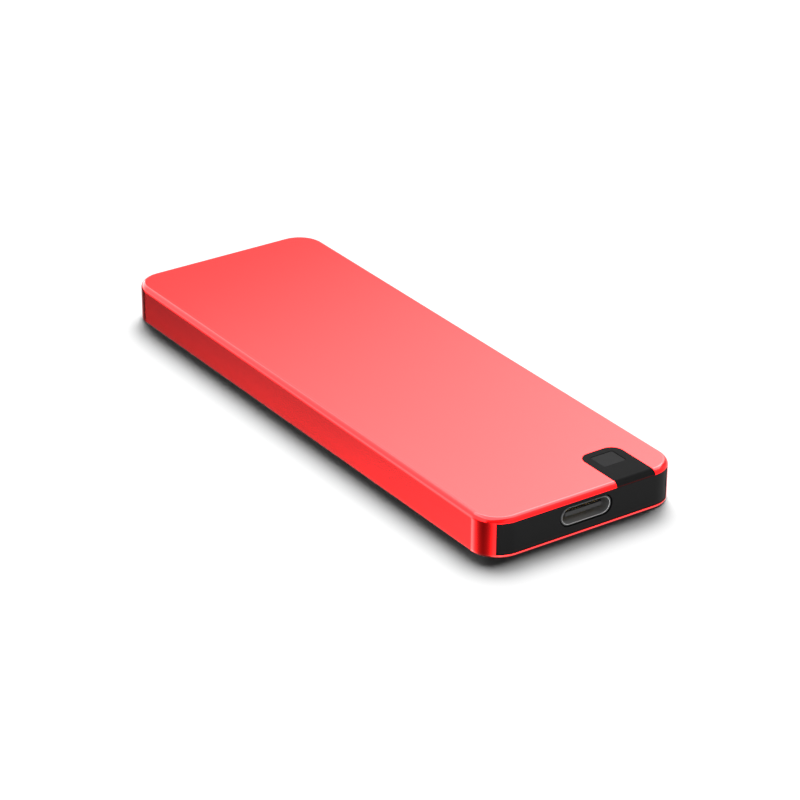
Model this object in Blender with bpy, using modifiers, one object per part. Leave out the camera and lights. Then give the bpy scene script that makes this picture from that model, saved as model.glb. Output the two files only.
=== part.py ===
"""Slim external solid state drive: an aluminium sleeve over a slide-in core.

Frame: X across the width, -Y towards the port end, +Z up, origin under the centre of the case.
Every length below is in metres, written as millimetres times MM.
"""
import math

import bmesh
import bpy
from mathutils import Matrix

MM = 0.001

# Case
CASE_WIDTH = 34.0 * MM
CASE_LENGTH = 99.0 * MM
CASE_HEIGHT = 6.25 * MM
CORNER_RADIUS = 4.6 * MM
CORNER_SEGMENTS = 10
TOP_ROUND = 0.9 * MM
TOP_SEGMENTS = 3
BOTTOM_CHAMFER = 0.2 * MM
FRONT = -CASE_LENGTH / 2
REAR = CASE_LENGTH / 2

# Cavity inside the sleeve
CAVITY_HALF_WIDTH = 15.2 * MM
CAVITY_FLOOR = 0.55 * MM
CAVITY_ROOF = 5.5 * MM
REAR_WALL = 1.0 * MM
CAVITY_CORNER = 3.0 * MM
LABEL_SIZE = (58.0 * MM, 20.0 * MM)
LABEL_RECESS = 0.14 * MM
LABEL_THICKNESS = 0.09 * MM

# End cap with its tab
SLIP = 0.05 * MM                      # gap round a piece that slides in the sleeve
CAP_SETBACK = 0.1 * MM
CAP_DEPTH = 3.4 * MM
TAB_CENTRE_X = 8.8 * MM
TAB_WIDTH = 6.8 * MM
TAB_LENGTH = 9.5 * MM
TAB_CORNER = 1.9 * MM
TAB_UNDERSIDE = 5.0 * MM
NOTCH_GAP = 0.08 * MM
LENS_SIZE = (4.0 * MM, 3.4 * MM, 0.66 * MM)
LENS_FROM_FRONT = 6.6 * MM
LENS_GAP = 0.05 * MM
LUG_HALF_SPAN = (10.6 * MM, 13.9 * MM)
LUG_REAR = 8.0 * MM                   # behind the front face
LUG_TOP = 3.3 * MM
CAP_SCREW_Y = FRONT + 5.9 * MM
SCREW_X = 12.4 * MM

# USB-C receptacle
PORT_Z = 3.35 * MM
PORT_OUTER = (9.0 * MM, 2.96 * MM)
PORT_INNER = (8.34 * MM, 2.56 * MM)
PORT_HOLE_GAP = 0.08 * MM
PORT_SETBACK = 0.2 * MM
PORT_LENGTH = 6.5 * MM
PORT_FRONT = FRONT + PORT_SETBACK
PORT_REAR = PORT_FRONT + PORT_LENGTH
TONGUE_SIZE = (6.69 * MM, 0.7 * MM)
TONGUE_SETBACK = 0.6 * MM
INSULATOR_LENGTH = 1.5 * MM

# Carrier tray
TRAY_HALF_WIDTH = 15.1 * MM
TRAY_FRONT = FRONT + 3.6 * MM
TRAY_REAR = REAR - 1.6 * MM
TRAY_UNDER = 0.62 * MM
TRAY_FLOOR = 1.15 * MM
TRAY_TOP = 5.3 * MM
TRAY_WALL = 0.85 * MM
BOSS_RADIUS = 1.3 * MM
TOUCH = 0.03 * MM                     # gap between two pieces that rest on each other

# Boards
BRIDGE_UNDER = 1.3 * MM
BOARD_THICKNESS = 0.8 * MM
BRIDGE_TOP = BRIDGE_UNDER + BOARD_THICKNESS
BRIDGE_HALF_WIDTH = 13.9 * MM
BRIDGE_FRONT = FRONT + 3.8 * MM
BRIDGE_REAR = -30.8 * MM
BRIDGE_SCREW_Y = -32.4 * MM
MODULE_WIDTH = 22.0 * MM
MODULE_LENGTH = 80.0 * MM
MODULE_REAR = 45.5 * MM
MODULE_FRONT = MODULE_REAR - MODULE_LENGTH
MODULE_UNDER = 2.7 * MM
MODULE_TOP = MODULE_UNDER + BOARD_THICKNESS
EDGE_WIDTH = 19.85 * MM
EDGE_LENGTH = 4.0 * MM
KEY_X = 6.125 * MM
SOCKET_FRONT = -37.3 * MM
SOCKET_REAR = -31.1 * MM
SOCKET_HEIGHT = 2.3 * MM

# Heat path
CHIP_TOP = 4.7 * MM
PAD_TOP = 5.1 * MM
SPREADER_TOP = 5.3 * MM

# Small screws, radius of head and of shank, height of head
M16_SCREW = (1.25 * MM, 0.75 * MM, 0.45 * MM)
M2_SCREW = (1.7 * MM, 0.95 * MM, 0.65 * MM)
HOLE_GAP = 0.07 * MM


def clear_scene():
    for obj in list(bpy.data.objects):
        bpy.data.objects.remove(obj, do_unlink=True)


def new_collection(name):
    collection = bpy.data.collections.new(name)
    bpy.context.scene.collection.children.link(collection)
    return collection


clear_scene()
PARTS = new_collection("solid_state_drive")
CUTTERS = new_collection("cutters")


def new_material(name, colour, roughness, metallic=0.0):
    material = bpy.data.materials.new(name)
    material.use_nodes = True
    shader = material.node_tree.nodes["Principled BSDF"]
    shader.inputs["Base Color"].default_value = (*colour, 1.0)
    shader.inputs["Roughness"].default_value = roughness
    shader.inputs["Metallic"].default_value = metallic
    return material


MATERIALS = {
    "red_anodised": new_material("red_anodised", (0.80, 0.03, 0.03), 0.35, 0.9),
    "label_film": new_material("label_film", (0.62, 0.62, 0.63), 0.45),
    "foam": new_material("foam", (0.03, 0.03, 0.03), 0.95),
    "black_plastic": new_material("black_plastic", (0.02, 0.02, 0.02), 0.45),
    "tray_plastic": new_material("tray_plastic", (0.05, 0.05, 0.055), 0.55),
    "smoked_lens": new_material("smoked_lens", (0.05, 0.05, 0.05), 0.12),
    "clear_plastic": new_material("clear_plastic", (0.85, 0.87, 0.88), 0.15),
    "plated_steel": new_material("plated_steel", (0.62, 0.63, 0.62), 0.3, 1.0),
    "screw_steel": new_material("screw_steel", (0.45, 0.45, 0.46), 0.35, 1.0),
    "brass": new_material("brass", (0.72, 0.55, 0.25), 0.35, 1.0),
    "circuit_board": new_material("circuit_board", (0.01, 0.09, 0.05), 0.4),
    "chip_resin": new_material("chip_resin", (0.025, 0.025, 0.028), 0.5),
    "ferrite": new_material("ferrite", (0.14, 0.13, 0.13), 0.6),
    "ceramic": new_material("ceramic", (0.42, 0.33, 0.22), 0.5),
    "led_resin": new_material("led_resin", (0.9, 0.88, 0.75), 0.3),
    "thermal_gel": new_material("thermal_gel", (0.36, 0.45, 0.56), 0.8),
    "copper_foil": new_material("copper_foil", (0.75, 0.38, 0.22), 0.3, 1.0),
}


def object_from_bmesh(name, shape, collection):
    mesh = bpy.data.meshes.new(name)
    shape.to_mesh(mesh)
    shape.free()
    obj = bpy.data.objects.new(name, mesh)
    collection.objects.link(obj)
    if collection is CUTTERS:
        obj.hide_render = True
        obj.display_type = 'WIRE'
    return obj


def box_shape(low, high):
    """A box between two corners, from a unit cube that is scaled and moved."""
    size = [b - a for a, b in zip(low, high)]
    middle = [(a + b) / 2 for a, b in zip(low, high)]
    shape = bmesh.new()
    bmesh.ops.create_cube(shape, size=1.0)
    bmesh.ops.scale(shape, vec=size, verts=shape.verts)
    bmesh.ops.translate(shape, vec=middle, verts=shape.verts)
    return shape


def edges_along(shape, axis):
    """Edges that run along one axis: 0, 1 or 2 for X, Y or Z."""
    found = []
    for edge in shape.edges:
        run = edge.verts[0].co - edge.verts[1].co
        if abs(run[axis]) > 0.999 * run.length:
            found.append(edge)
    return found


def bevel_edges(shape, edges, width, segments=1):
    bmesh.ops.bevel(shape, geom=edges, offset=width, offset_type='OFFSET', segments=segments,
                    profile=0.5, affect='EDGES', clamp_overlap=True)


def box(name, low, high, material=None, edge=0.0, collection=None):
    """A box, with all its edges chamfered when edge is given."""
    shape = box_shape(low, high)
    if edge > 0:
        bevel_edges(shape, shape.edges[:], edge)
    obj = object_from_bmesh(name, shape, collection or PARTS)
    if material:
        obj.data.materials.append(MATERIALS[material])
    return obj


def centred_box(name, centre_x, centre_y, size_x, size_y, low_z, high_z, material, edge=0.0):
    low = (centre_x - size_x / 2, centre_y - size_y / 2, low_z)
    high = (centre_x + size_x / 2, centre_y + size_y / 2, high_z)
    return box(name, low, high, material, edge)


def cutter_box(name, low, high):
    return box(name, low, high, collection=CUTTERS)


def rounded_prism(name, low, high, radius, segments, axis=2, collection=None):
    """A box whose four edges along one axis are rounded."""
    shape = box_shape(low, high)
    bevel_edges(shape, edges_along(shape, axis), radius, segments)
    return object_from_bmesh(name, shape, collection or CUTTERS)


def case_bar(name, setback, collection):
    """The outer form of the case, with its chamfered rims; setback shortens its two ends."""
    low = (-CASE_WIDTH / 2, FRONT + setback, 0.0)
    high = (CASE_WIDTH / 2, REAR - setback, CASE_HEIGHT)
    shape = box_shape(low, high)
    bevel_edges(shape, edges_along(shape, 2), CORNER_RADIUS, CORNER_SEGMENTS)
    for level, width, segments in ((CASE_HEIGHT, TOP_ROUND, TOP_SEGMENTS), (0.0, BOTTOM_CHAMFER, 1)):
        rim = [edge for edge in shape.edges
               if all(abs(vert.co.z - level) < SLIP / 10 for vert in edge.verts)]
        bevel_edges(shape, rim, width, segments)
    return object_from_bmesh(name, shape, collection)


def cylinder(name, x, y, low_z, high_z, radius, segments=16, collection=None):
    shape = bmesh.new()
    bmesh.ops.create_cone(shape, cap_ends=True, segments=segments, radius1=radius, radius2=radius,
                          depth=high_z - low_z, matrix=Matrix.Translation((x, y, (low_z + high_z) / 2)))
    return object_from_bmesh(name, shape, collection or CUTTERS)


def combine(target, other, operation='DIFFERENCE'):
    modifier = target.modifiers.new(other.name, 'BOOLEAN')
    modifier.operation = operation
    modifier.solver = 'EXACT'
    modifier.object = other
    return target


def smooth(obj, degrees=30):
    obj.data.shade_smooth()
    obj.data.set_sharp_from_angle(angle=math.radians(degrees))


def screw(name, x, y, seat_z, tip_z, sizes, material, segments=16):
    """A pan-head screw: half its outline, from head top to tip, spun about its own axis."""
    head_radius, shank_radius, head_height = sizes
    top = seat_z + head_height
    rim = 0.2 * head_height
    outline = [(0, top), (head_radius - rim, top), (head_radius, top - rim), (head_radius, seat_z),
               (shank_radius, seat_z), (shank_radius, tip_z + rim), (shank_radius - rim, tip_z), (0, tip_z)]
    mesh = bpy.data.meshes.new(name)
    points = [(radius, 0, height - seat_z) for radius, height in outline]
    mesh.from_pydata(points, [(i, i + 1) for i in range(len(points) - 1)], [])
    obj = bpy.data.objects.new(name, mesh)
    obj.location = (x, y, seat_z)
    PARTS.objects.link(obj)
    spin = obj.modifiers.new("Spin", 'SCREW')
    spin.axis = 'Z'
    spin.angle = 2 * math.pi
    spin.steps = segments
    spin.render_steps = segments
    spin.use_merge_vertices = True
    spin.merge_threshold = 1e-6
    spin.use_smooth_shade = False
    obj.data.materials.append(MATERIALS[material])
    return obj


def sleeve():
    """The case: the bar, hollowed from its front end, with a notch for the tab and a label recess."""
    obj = case_bar("sleeve", 0.0, PARTS)
    obj.data.materials.append(MATERIALS["red_anodised"])
    cavity = rounded_prism("cavity_cutter", (-CAVITY_HALF_WIDTH, FRONT - 10 * MM, CAVITY_FLOOR),
                           (CAVITY_HALF_WIDTH, REAR - REAR_WALL, CAVITY_ROOF), CAVITY_CORNER, 5)
    half = TAB_WIDTH / 2 + NOTCH_GAP
    notch = rounded_prism("notch_cutter",
                          (TAB_CENTRE_X - half, FRONT - 10 * MM, CAVITY_ROOF - 1 * MM),
                          (TAB_CENTRE_X + half, FRONT + TAB_LENGTH + NOTCH_GAP, CASE_HEIGHT + 1 * MM),
                          TAB_CORNER + NOTCH_GAP, 5)
    width, length = LABEL_SIZE[1] / 2, LABEL_SIZE[0] / 2
    margin = SLIP * 2
    recess = rounded_prism("label_recess_cutter", (-width - margin, -length - margin, -1 * MM),
                           (width + margin, length + margin, LABEL_RECESS), 1.5 * MM, 4)
    for cutter in (cavity, notch, recess):
        combine(obj, cutter)
    smooth(obj)
    return obj


def rating_label():
    width, length = LABEL_SIZE[1] / 2, LABEL_SIZE[0] / 2
    obj = rounded_prism("rating_label", (-width, -length, LABEL_RECESS - TOUCH - LABEL_THICKNESS),
                        (width, length, LABEL_RECESS - TOUCH), 1.4 * MM, 4, collection=PARTS)
    obj.data.materials.append(MATERIALS["label_film"])
    return obj


def rear_foam_pad():
    """Soft pad on the rear wall that keeps the core from rattling."""
    rear = REAR - REAR_WALL - TOUCH
    return box("rear_foam_pad", (-9.0 * MM, rear - 0.45 * MM, 1.4 * MM), (9.0 * MM, rear, 4.6 * MM), "foam")


def port_prism(name, size, front, rear, collection):
    """A flat tube section with fully rounded sides, as a USB-C shell has."""
    half_x, half_z = size[0] / 2, size[1] / 2
    return rounded_prism(name, (-half_x, front, PORT_Z - half_z), (half_x, rear, PORT_Z + half_z),
                         half_z * 0.985, 6, axis=1, collection=collection)


def end_cap():
    """The black end panel, its tab over the top face, and two lugs that clamp the bridge board."""
    face = FRONT + CAP_SETBACK
    back = face + CAP_DEPTH
    obj = case_bar("end_cap", CAP_SETBACK, PARTS)
    obj.data.materials.append(MATERIALS["black_plastic"])
    half = CAVITY_HALF_WIDTH - SLIP
    panel = cutter_box("cap_panel_limit", (-half, FRONT - 5 * MM, CAVITY_FLOOR + SLIP),
                       (half, back, CAVITY_ROOF - SLIP))
    combine(obj, panel, 'INTERSECT')
    tab = case_bar("cap_tab", CAP_SETBACK, CUTTERS)
    tab_limit = rounded_prism("cap_tab_limit",
                              (TAB_CENTRE_X - TAB_WIDTH / 2, FRONT - 5 * MM, TAB_UNDERSIDE),
                              (TAB_CENTRE_X + TAB_WIDTH / 2, FRONT + TAB_LENGTH, CASE_HEIGHT + 1 * MM),
                              TAB_CORNER, 5)
    combine(tab, tab_limit, 'INTERSECT')
    combine(obj, tab, 'UNION')
    for side, label in ((-1, "left"), (1, "right")):
        ends = sorted((side * LUG_HALF_SPAN[0], side * LUG_HALF_SPAN[1]))
        lug = cutter_box("cap_lug_" + label, (ends[0], back - 0.5 * MM, BRIDGE_TOP + TOUCH),
                         (ends[1], FRONT + LUG_REAR, LUG_TOP))
        combine(obj, lug, 'UNION')
        hole = cylinder("cap_lug_hole_" + label, side * SCREW_X, CAP_SCREW_Y, 1 * MM, 4.5 * MM,
                        M16_SCREW[1] + HOLE_GAP)
        combine(obj, hole)
    hole_size = [size + 2 * PORT_HOLE_GAP for size in PORT_OUTER]
    combine(obj, port_prism("port_cutter", hole_size, FRONT - 5 * MM, back + 2 * MM, CUTTERS))
    lens_y = FRONT + LENS_FROM_FRONT
    grow = LENS_GAP
    pocket = cutter_box("lens_pocket_cutter",
                        (TAB_CENTRE_X - LENS_SIZE[0] / 2 - grow, lens_y - LENS_SIZE[1] / 2 - grow,
                         CASE_HEIGHT - LENS_SIZE[2] - grow),
                        (TAB_CENTRE_X + LENS_SIZE[0] / 2 + grow, lens_y + LENS_SIZE[1] / 2 + grow,
                         CASE_HEIGHT + 1 * MM))
    combine(obj, pocket)
    pipe_hole = cylinder("light_pipe_cutter", TAB_CENTRE_X, lens_y, TAB_UNDERSIDE - 1 * MM,
                         CASE_HEIGHT, 0.8 * MM)
    combine(obj, pipe_hole)
    smooth(obj)
    return obj


def indicator_parts():
    """Smoked window, the light pipe under it and the light-emitting diode on the board."""
    lens_y = FRONT + LENS_FROM_FRONT
    centred_box("indicator_lens", TAB_CENTRE_X, lens_y, LENS_SIZE[0], LENS_SIZE[1],
                CASE_HEIGHT - LENS_SIZE[2], CASE_HEIGHT - TOUCH, "smoked_lens", edge=0.08 * MM)
    led_top = BRIDGE_TOP + TOUCH + 0.55 * MM
    pipe = cylinder("light_pipe", TAB_CENTRE_X, lens_y, led_top + TOUCH,
                    CASE_HEIGHT - LENS_SIZE[2] - 2 * TOUCH, 0.7 * MM, collection=PARTS)
    pipe.data.materials.append(MATERIALS["clear_plastic"])
    smooth(pipe)
    centred_box("status_led", TAB_CENTRE_X, lens_y, 0.8 * MM, 1.6 * MM, BRIDGE_TOP + TOUCH, led_top,
                "led_resin", edge=0.05 * MM)


def usb_c_receptacle():
    """Steel shell with four solder ears, an insulator with its tongue, and a rear shield plate."""
    shell = port_prism("usb_c_shell", PORT_OUTER, PORT_FRONT, PORT_REAR, PARTS)
    shell.data.materials.append(MATERIALS["plated_steel"])
    for side, label in ((-1, "left"), (1, "right")):
        for spot, from_rear in (("front", 2.6 * MM), ("back", 0.6 * MM)):
            ends = sorted((side * (PORT_OUTER[0] / 2 - 0.4 * MM), side * (PORT_OUTER[0] / 2 + 1.0 * MM)))
            middle = PORT_REAR - from_rear
            ear = cutter_box("ear_" + label + "_" + spot, (ends[0], middle - 0.4 * MM, BRIDGE_TOP + TOUCH),
                             (ends[1], middle + 0.4 * MM, BRIDGE_TOP + TOUCH + 0.25 * MM))
            combine(shell, ear, 'UNION')
    combine(shell, port_prism("port_mouth_cutter", PORT_INNER, FRONT - 5 * MM, PORT_REAR + 1 * MM, CUTTERS))
    smooth(shell)

    inner = [size - 2 * TOUCH for size in PORT_INNER]
    rear = PORT_REAR - 0.3 * MM
    insulator = port_prism("usb_c_tongue", inner, rear - INSULATOR_LENGTH, rear, PARTS)
    insulator.data.materials.append(MATERIALS["black_plastic"])
    half_x, half_z = TONGUE_SIZE[0] / 2, TONGUE_SIZE[1] / 2
    tongue = cutter_box("tongue_guide", (-half_x, PORT_FRONT + TONGUE_SETBACK, PORT_Z - half_z),
                        (half_x, rear - 0.5 * MM, PORT_Z + half_z))
    combine(insulator, tongue, 'UNION')
    step = cutter_box("tongue_step_guide",
                      (-half_x - 0.3 * MM, rear - INSULATOR_LENGTH - 1.2 * MM, PORT_Z - half_z - 0.3 * MM),
                      (half_x + 0.3 * MM, rear - 0.5 * MM, PORT_Z + half_z + 0.3 * MM))
    combine(insulator, step, 'UNION')
    smooth(insulator)

    shield = port_prism("usb_c_rear_shield", PORT_OUTER, PORT_REAR + TOUCH, PORT_REAR + 0.25 * MM, PARTS)
    shield.data.materials.append(MATERIALS["plated_steel"])
    smooth(shield)


def carrier_tray():
    """The moulded tray: a floor, three walls, bosses for the screws and stiffening ribs."""
    obj = rounded_prism("carrier_tray", (-TRAY_HALF_WIDTH, TRAY_FRONT, TRAY_UNDER),
                        (TRAY_HALF_WIDTH, TRAY_REAR, TRAY_TOP), CAVITY_CORNER - SLIP, 5, collection=PARTS)
    obj.data.materials.append(MATERIALS["tray_plastic"])
    inside = TRAY_HALF_WIDTH - TRAY_WALL
    hollow = rounded_prism("tray_hollow_cutter", (-inside, TRAY_FRONT - 5 * MM, TRAY_FLOOR),
                           (inside, TRAY_REAR - 0.6 * MM, TRAY_TOP + 2 * MM), 2.2 * MM, 4)
    combine(obj, hollow)
    front_trim = cutter_box("tray_front_cutter", (-20 * MM, TRAY_FRONT - 5 * MM, 0.0),
                            (20 * MM, TRAY_FRONT + CAVITY_CORNER, CASE_HEIGHT))
    combine(obj, front_trim)
    lip = cutter_box("tray_front_floor", (-inside - 0.3 * MM, TRAY_FRONT, TRAY_UNDER),
                     (inside + 0.3 * MM, TRAY_FRONT + CAVITY_CORNER + 0.5 * MM, TRAY_FLOOR))
    combine(obj, lip, 'UNION')
    for x, y, radius in boss_places():
        boss = cylinder("tray_boss", x, y, TRAY_UNDER + 0.1 * MM, BRIDGE_UNDER - TOUCH, radius)
        combine(obj, boss, 'UNION')
    for number in range(5):
        y = (-22.0 + 14.0 * number) * MM
        rib = cutter_box("tray_rib", (-inside - 0.3 * MM, y - 0.4 * MM, TRAY_FLOOR - 0.2 * MM),
                         (inside + 0.3 * MM, y + 0.4 * MM, TRAY_FLOOR + 0.9 * MM))
        combine(obj, rib, 'UNION')
    for x, y, radius in boss_places():
        hole = cylinder("tray_screw_hole", x, y, TRAY_UNDER + 0.12 * MM, BRIDGE_UNDER + 1 * MM,
                        M16_SCREW[1] + HOLE_GAP)
        combine(obj, hole)
    smooth(obj)
    return obj


def boss_places():
    """Centres and radii of the tray's screw bosses."""
    return [(side * SCREW_X, y, BOSS_RADIUS) for y in (CAP_SCREW_Y, BRIDGE_SCREW_Y) for side in (-1, 1)]


def bridge_board():
    """The small board that joins the port to the module, cut out round the receptacle."""
    obj = box("bridge_board", (-BRIDGE_HALF_WIDTH, BRIDGE_FRONT, BRIDGE_UNDER),
              (BRIDGE_HALF_WIDTH, BRIDGE_REAR, BRIDGE_TOP), "circuit_board")
    half = PORT_OUTER[0] / 2 + 0.12 * MM
    cut_out = cutter_box("port_cut_out", (-half, BRIDGE_FRONT - 5 * MM, 0.0),
                         (half, PORT_REAR + 0.4 * MM, CASE_HEIGHT))
    combine(obj, cut_out)
    for x, y, _ in boss_places():
        hole = cylinder("bridge_screw_hole", x, y, 0.0, CASE_HEIGHT, M16_SCREW[1] + HOLE_GAP)
        combine(obj, hole)
    return obj


def bridge_components():
    """What is soldered on the bridge board: name, centre, size, height and material."""
    rows = [
        ("bridge_chip", 0.0, -39.9, 5.0, 5.0, 0.85, "chip_resin"),
        ("crystal", -7.9, -43.6, 3.2, 2.5, 0.7, "plated_steel"),
        ("regulator_chip", -7.4, -40.2, 2.0, 2.0, 0.75, "chip_resin"),
        ("power_inductor", 7.0, -39.3, 2.5, 2.0, 1.0, "ferrite"),
        ("bulk_capacitor_1", -12.2, -38.6, 1.6, 3.2, 1.2, "ceramic"),
        ("bulk_capacitor_2", 12.2, -38.6, 1.6, 3.2, 1.2, "ceramic"),
    ]
    base = BRIDGE_TOP + TOUCH
    for name, x, y, size_x, size_y, height, material in rows:
        centred_box(name, x * MM, y * MM, size_x * MM, size_y * MM, base, base + height * MM, material,
                    edge=0.06 * MM)


def m2_socket():
    """The card-edge socket, with a slot that takes the module's contact edge."""
    half = MODULE_WIDTH / 2
    base = BRIDGE_TOP + TOUCH
    obj = box("m2_socket", (-half, SOCKET_FRONT, base), (half, SOCKET_REAR, base + SOCKET_HEIGHT),
              "black_plastic")
    slot_half = EDGE_WIDTH / 2 + 2 * TOUCH
    slot = cutter_box("socket_slot_cutter", (-slot_half, MODULE_FRONT - 2 * TOUCH, MODULE_UNDER - TOUCH),
                      (slot_half, SOCKET_REAR + 5 * MM, MODULE_TOP + TOUCH))
    combine(obj, slot)
    ledge = cutter_box("socket_ledge_cutter", (-slot_half, MODULE_FRONT + 1.6 * MM, MODULE_TOP),
                       (slot_half, SOCKET_REAR + 5 * MM, MODULE_TOP + 0.5 * MM))
    combine(obj, ledge)
    return obj


def m2_board():
    """The module's board: contact edge with its key notch, and a half-round screw seat at the rear."""
    obj = box("m2_board", (-MODULE_WIDTH / 2, MODULE_FRONT, MODULE_UNDER),
              (MODULE_WIDTH / 2, MODULE_REAR, MODULE_TOP), "circuit_board")
    for side in (-1, 1):
        ends = sorted((side * EDGE_WIDTH / 2, side * MODULE_WIDTH))
        shoulder = cutter_box("shoulder_cutter", (ends[0], MODULE_FRONT - 5 * MM, 0.0),
                              (ends[1], MODULE_FRONT + EDGE_LENGTH, CASE_HEIGHT))
        combine(obj, shoulder)
    key = cutter_box("key_cutter", (KEY_X - 0.6 * MM, MODULE_FRONT - 5 * MM, 0.0),
                     (KEY_X + 0.6 * MM, MODULE_FRONT + 3.0 * MM, CASE_HEIGHT))
    combine(obj, key)
    seat = cylinder("screw_seat_cutter", 0.0, MODULE_REAR, 0.0, CASE_HEIGHT, 1.2 * MM, 24)
    combine(obj, seat)
    return obj


def module_components():
    """What is soldered on the module: name, centre, size, top and material."""
    low_top = MODULE_TOP / MM + 0.9
    high_top = CHIP_TOP / MM
    rows = [
        ("power_chip", -6.5, -26.3, 3.0, 3.0, low_top, "chip_resin"),
        ("module_inductor", 6.5, -26.3, 2.5, 2.0, low_top, "ferrite"),
        ("controller_chip", 0.0, -16.5, 12.0, 12.0, high_top, "chip_resin"),
        ("dram_chip", 0.0, -4.0, 12.5, 8.0, high_top, "chip_resin"),
        ("nand_chip_1", 0.0, 11.0, 14.0, 18.0, high_top, "chip_resin"),
        ("nand_chip_2", 0.0, 31.0, 14.0, 18.0, high_top, "chip_resin"),
    ]
    base = MODULE_TOP + TOUCH
    for name, x, y, size_x, size_y, top, material in rows:
        centred_box(name, x * MM, y * MM, size_x * MM, size_y * MM, base, top * MM, material, edge=0.06 * MM)


def heat_path():
    """Thermal pad on the chips, and the copper foil that spreads the heat to the sleeve's roof."""
    centred_box("thermal_pad", 0.0, 9.0 * MM, 19.0 * MM, 64.0 * MM, CHIP_TOP + TOUCH, PAD_TOP, "thermal_gel",
                edge=0.05 * MM)
    centred_box("heat_spreader", 0.0, 8.0 * MM, 21.0 * MM, 70.0 * MM, PAD_TOP + TOUCH, SPREADER_TOP,
                "copper_foil")
    under = MODULE_UNDER - TOUCH
    centred_box("module_label", 0.0, 10.0 * MM, 18.0 * MM, 58.0 * MM, under - 0.08 * MM, under,
                "label_film")


def fasteners():
    """Cap screws, bridge board screws, and the module's standoff and screw."""
    tip = TRAY_UNDER + 0.2 * MM
    for side, label in ((-1, "left"), (1, "right")):
        screw("cap_screw_" + label, side * SCREW_X, CAP_SCREW_Y, LUG_TOP + TOUCH, tip, M16_SCREW, "screw_steel")
        screw("bridge_screw_" + label, side * SCREW_X, BRIDGE_SCREW_Y, BRIDGE_TOP + TOUCH, tip, M16_SCREW,
              "screw_steel")
    standoff = cylinder("m2_standoff", 0.0, MODULE_REAR, TRAY_FLOOR + TOUCH, MODULE_UNDER - TOUCH, 1.65 * MM,
                        24, PARTS)
    standoff.data.materials.append(MATERIALS["brass"])
    bore = cylinder("standoff_bore_cutter", 0.0, MODULE_REAR, TRAY_FLOOR + 0.3 * MM, MODULE_TOP,
                    M2_SCREW[1] + HOLE_GAP)
    combine(standoff, bore)
    smooth(standoff)
    screw("m2_screw", 0.0, MODULE_REAR, MODULE_TOP + TOUCH, TRAY_FLOOR + 0.4 * MM, M2_SCREW, "screw_steel", 20)


sleeve()
rating_label()
rear_foam_pad()
end_cap()
indicator_parts()
usb_c_receptacle()
carrier_tray()
bridge_board()
bridge_components()
m2_socket()
m2_board()
module_components()
heat_path()
fasteners()
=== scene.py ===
import math

import bmesh
import bpy
import numpy as np
from mathutils import Matrix, Vector


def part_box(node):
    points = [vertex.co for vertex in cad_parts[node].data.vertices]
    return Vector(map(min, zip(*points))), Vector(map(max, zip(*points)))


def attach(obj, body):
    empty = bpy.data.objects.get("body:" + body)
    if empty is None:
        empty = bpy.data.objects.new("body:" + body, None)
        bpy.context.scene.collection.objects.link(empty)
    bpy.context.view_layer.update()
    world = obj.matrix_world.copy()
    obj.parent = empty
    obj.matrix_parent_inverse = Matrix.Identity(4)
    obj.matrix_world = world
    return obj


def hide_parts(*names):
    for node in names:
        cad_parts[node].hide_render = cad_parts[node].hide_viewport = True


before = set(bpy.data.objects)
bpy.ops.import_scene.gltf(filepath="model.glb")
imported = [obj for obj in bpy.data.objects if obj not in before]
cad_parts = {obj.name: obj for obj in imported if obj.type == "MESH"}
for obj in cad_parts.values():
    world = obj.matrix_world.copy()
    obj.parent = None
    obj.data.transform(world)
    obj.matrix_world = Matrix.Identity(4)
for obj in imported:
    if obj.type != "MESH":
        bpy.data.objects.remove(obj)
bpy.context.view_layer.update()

# Slim portable drive: red anodised sleeve, black end cap with its tab, and the boards on their tray.
mm = 0.001
caseBody = "case"
coreBody = "core"
sides = (-1, 1)
scene = bpy.context.scene
sleeveLow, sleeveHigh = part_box("sleeve")
front = sleeveLow.y
rear = sleeveHigh.y
caseHeight = sleeveHigh.z
halfWidth = sleeveHigh.x
beyond = 1 * mm          # how far a cutter reaches past the surface it opens


def inMm(**lengths):
    # a dictionary of lengths given in millimetres
    return {name: value * mm for name, value in lengths.items()}


def outline(halfX, halfY, radius, perCorner=14, centre=(0.0, 0.0)):
    # four quarter arcs joined by straight runs; gives the points and their outward normals
    angles = np.linspace(0, math.pi / 2, perCorner + 1)
    turns = (np.arange(4)[:, None] * math.pi / 2 + angles[None, :]).ravel()
    corners = np.array([[1, 1], [-1, 1], [-1, -1], [1, -1]]) * [halfX - radius, halfY - radius]
    normal = np.stack([np.cos(turns), np.sin(turns)], 1)
    return np.repeat(corners, perCorner + 1, axis=0) + radius * normal + np.array(centre), normal


def carry(points, normal, insets, heights):
    # a profile carried round an outline: each ring is the outline moved in along its normals, at one height
    insets = np.asarray(insets, float)[:, None, None]
    flat = points[None] - insets * normal[None]
    high = np.broadcast_to(np.asarray(heights, float)[:, None, None], flat.shape[:2] + (1,))
    return np.concatenate([flat, high], 2)


def gridFaces(rows, columns, closeRows=False, closeColumns=True):
    # quads of a grid of points, optionally joined end to end either way
    row = np.arange(rows if closeRows else rows - 1)[:, None]
    column = np.arange(columns if closeColumns else columns - 1)[None, :]
    nextRow, nextColumn = (row + 1) % rows, (column + 1) % columns
    quads = np.stack([row * columns + column, row * columns + nextColumn,
                      nextRow * columns + nextColumn, nextRow * columns + column], 2)
    return quads.reshape(-1, 4)


def ringSolid(rings):
    # a closed solid: rings of equal length, with a flat cap on the first and the last
    rings = np.asarray(rings)
    rows, columns = rings.shape[:2]
    last = (rows - 1) * columns
    caps = [list(range(columns)), list(range(last, last + columns))]
    return rings.reshape(-1, 3), [*gridFaces(rows, columns), *caps]


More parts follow.
